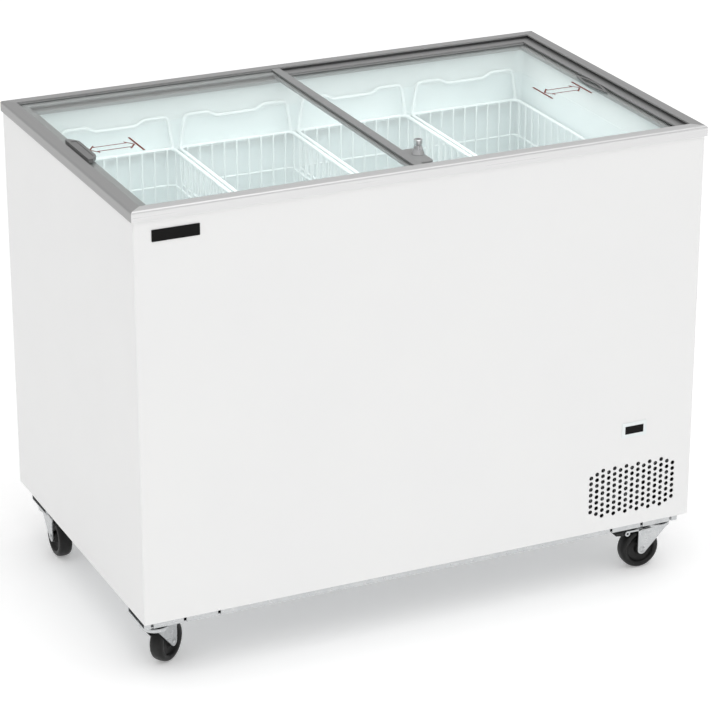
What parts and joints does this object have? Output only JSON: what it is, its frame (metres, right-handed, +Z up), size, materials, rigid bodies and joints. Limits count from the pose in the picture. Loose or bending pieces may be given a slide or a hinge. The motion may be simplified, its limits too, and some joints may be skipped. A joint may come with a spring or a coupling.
{
  "type": "chest freezer",
  "caption": "Free-standing ice-cream display chest with two flat glass lids that slide over each other, wire baskets, a key lock and swivel castors.",
  "frame": {"origin": "centre of the footprint on the floor, under the wheels", "axes": "+X along the width to the compressor side, +Y from the front to the back, +Z up"},
  "size_m": [1.045, 0.638, 0.8609],
  "materials": {
    "white_enamel": "white gloss coil-coated steel",
    "rear_steel": "white painted steel, plain",
    "satin_aluminium": "satin anodised",
    "grey_frame": "satin anodised, grey",
    "pane": "clear tempered float glass, faint blue green",
    "grey_edging": "satin grey extrusion",
    "grip_grey": "satin grey moulding",
    "brush_fibre": "dark pile",
    "white_moulding": "white, low gloss",
    "white_liner": "white stucco-coated aluminium",
    "foam": "rigid polyurethane foam",
    "galvanised": "galvanised sheet",
    "zinc_plate": "bright zinc plated",
    "black_wheel": "black moulded wheel",
    "black_plastic": "black moulding",
    "black_gloss": "black, glossy",
    "chrome_lock": "bright chrome",
    "basket_coat": "white plastic-coated wire",
    "copper_tube": "drawn copper",
    "aluminium_fins": "mill finish",
    "black_enamel": "black enamel",
    "rubber_mount": "black rubber"
  },
  "bodies": {
    "cabinet": {"outer_casing": "white_enamel", "rear_panel": "rear_steel", "bay_cover": "rear_steel", "mains_gland": "black_plastic", "base_pan": "galvanised", "inner_liner": "white_liner", "collar": "white_moulding", "bay_wall": "galvanised", "evaporator": "copper_tube", "foam_insulation": "foam", "drain_tube": "white_moulding", "front_rail": "satin_aluminium", "rear_rail": "grey_frame", "left_rail": "grey_frame", "right_rail": "grey_frame", "frame_corner_keys": "aluminium_fins", "basket_ledges": "white_moulding", "badge": "black_gloss", "display_bezel": "white_moulding", "display_lens": "black_gloss", "controller": "black_plastic", "compressor": "black_enamel", "compressor_grommets": "rubber_mount", "relay_box": "black_plastic", "condenser": "aluminium_fins", "fan_shroud": "black_plastic", "filter_drier": "copper_tube", "refrigerant_pipes": "copper_tube", "base_rails": "zinc_plate", "castor_plates": "zinc_plate", "mounting_bolts": "zinc_plate"},
    "upper_lid": {"upper_glass": "pane", "upper_edging": "grey_edging", "upper_meeting_rail": "grey_edging", "upper_grip": "grip_grey", "lock_bracket": "grey_edging", "lock_barrel": "chrome_lock"},
    "lower_lid": {"lower_glass": "pane", "lower_edging": "grey_edging", "lower_meeting_rail": "grey_edging", "lower_grip": "grip_grey", "brush_seal": "brush_fibre"},
    "lock_key_plug": {"lock_cylinder": "chrome_lock"},
    "lock_plunger": {"lock_bolt": "zinc_plate"},
    "fan": {"fan_blade": "aluminium_fins"},
    "drain_stopper": {"drain_plug": "rubber_mount"},
    "basket_1": {"basket_1": "basket_coat"},
    "basket_2": {"basket_2": "basket_coat"},
    "basket_3": {"basket_3": "basket_coat"},
    "basket_4": {"basket_4": "basket_coat"},
    "fork_front_left": {"castor_fork_front_left": "zinc_plate"},
    "wheel_front_left": {"castor_wheel_front_left": "black_wheel"},
    "pedal_front_left": {"brake_pedal_front_left": "black_plastic"},
    "fork_front_right": {"castor_fork_front_right": "zinc_plate"},
    "wheel_front_right": {"castor_wheel_front_right": "black_wheel"},
    "pedal_front_right": {"brake_pedal_front_right": "black_plastic"},
    "fork_rear_left": {"castor_fork_rear_left": "zinc_plate"},
    "wheel_rear_left": {"castor_wheel_rear_left": "black_wheel"},
    "fork_rear_right": {"castor_fork_rear_right": "zinc_plate"},
    "wheel_rear_right": {"castor_wheel_rear_right": "black_wheel"}
  },
  "joints": [
    {"name": "upper_lid_slide", "type": "slide", "parent": "cabinet", "child": "upper_lid", "axis": [1, 0, 0], "range_m": [0, 0.467]},
    {"name": "lower_lid_slide", "type": "slide", "parent": "cabinet", "child": "lower_lid", "axis": [1, 0, 0], "range_m": [-0.467, 0]},
    {"name": "lock_push", "type": "slide", "parent": "upper_lid", "child": "lock_plunger", "axis": [0, 0, -1], "range_m": [0, 0.0026]},
    {"name": "lock_turn", "type": "hinge", "parent": "lock_plunger", "child": "lock_key_plug", "pos_m": [0.0125, -0.243, 0.8549], "axis": [0, 0, 1], "range_deg": [0, 90]},
    {"name": "fan_spin", "type": "hinge", "parent": "cabinet", "child": "fan", "pos_m": [0.4016, -0.243, 0.187], "axis": [0, 1, 0], "continuous": true},
    {"name": "drain_plug_pull", "type": "slide", "parent": "cabinet", "child": "drain_stopper", "axis": [0, 0, 1], "range_m": [0, 0.03]},
    {"name": "basket_1_lift", "type": "slide", "parent": "cabinet", "child": "basket_1", "axis": [0, 0, 1], "range_m": [0, 0.025]},
    {"name": "basket_2_lift", "type": "slide", "parent": "cabinet", "child": "basket_2", "axis": [0, 0, 1], "range_m": [0, 0.025]},
    {"name": "basket_3_lift", "type": "slide", "parent": "cabinet", "child": "basket_3", "axis": [0, 0, 1], "range_m": [0, 0.025]},
    {"name": "basket_4_lift", "type": "slide", "parent": "cabinet", "child": "basket_4", "axis": [0, 0, 1], "range_m": [0, 0.025]},
    {"name": "swivel_front_left", "type": "hinge", "parent": "cabinet", "child": "fork_front_left", "pos_m": [-0.483, -0.266, 0.0797], "axis": [0, 0, 1], "continuous": true},
    {"name": "roll_front_left", "type": "hinge", "parent": "fork_front_left", "child": "wheel_front_left", "pos_m": [-0.45542, -0.24445, 0.0375], "axis": [-0.6157, 0.788, 0], "continuous": true},
    {"name": "brake_front_left", "type": "hinge", "parent": "fork_front_left", "child": "pedal_front_left", "pos_m": [-0.43099, -0.22537, 0.0745], "axis": [-0.6157, 0.788, 0], "range_deg": [0, 15]},
    {"name": "swivel_front_right", "type": "hinge", "parent": "cabinet", "child": "fork_front_right", "pos_m": [0.483, -0.266, 0.0797], "axis": [0, 0, 1], "continuous": true},
    {"name": "roll_front_right", "type": "hinge", "parent": "fork_front_right", "child": "wheel_front_right", "pos_m": [0.448, -0.266, 0.0375], "axis": [0, -1, 0], "continuous": true},
    {"name": "brake_front_right", "type": "hinge", "parent": "fork_front_right", "child": "pedal_front_right", "pos_m": [0.417, -0.266, 0.0745], "axis": [0, -1, 0], "range_deg": [0, 15]},
    {"name": "swivel_rear_left", "type": "hinge", "parent": "cabinet", "child": "fork_rear_left", "pos_m": [-0.483, 0.2465, 0.0797], "axis": [0, 0, 1], "continuous": true},
    {"name": "roll_rear_left", "type": "hinge", "parent": "fork_rear_left", "child": "wheel_rear_left", "pos_m": [-0.483, 0.2115, 0.0375], "axis": [1, 0, 0], "continuous": true},
    {"name": "swivel_rear_right", "type": "hinge", "parent": "cabinet", "child": "fork_rear_right", "pos_m": [0.483, 0.2465, 0.0797], "axis": [0, 0, 1], "continuous": true},
    {"name": "roll_rear_right", "type": "hinge", "parent": "fork_rear_right", "child": "wheel_rear_right", "pos_m": [0.4655, 0.21619, 0.0375], "axis": [0.866, -0.5, 0], "continuous": true}
  ]
}
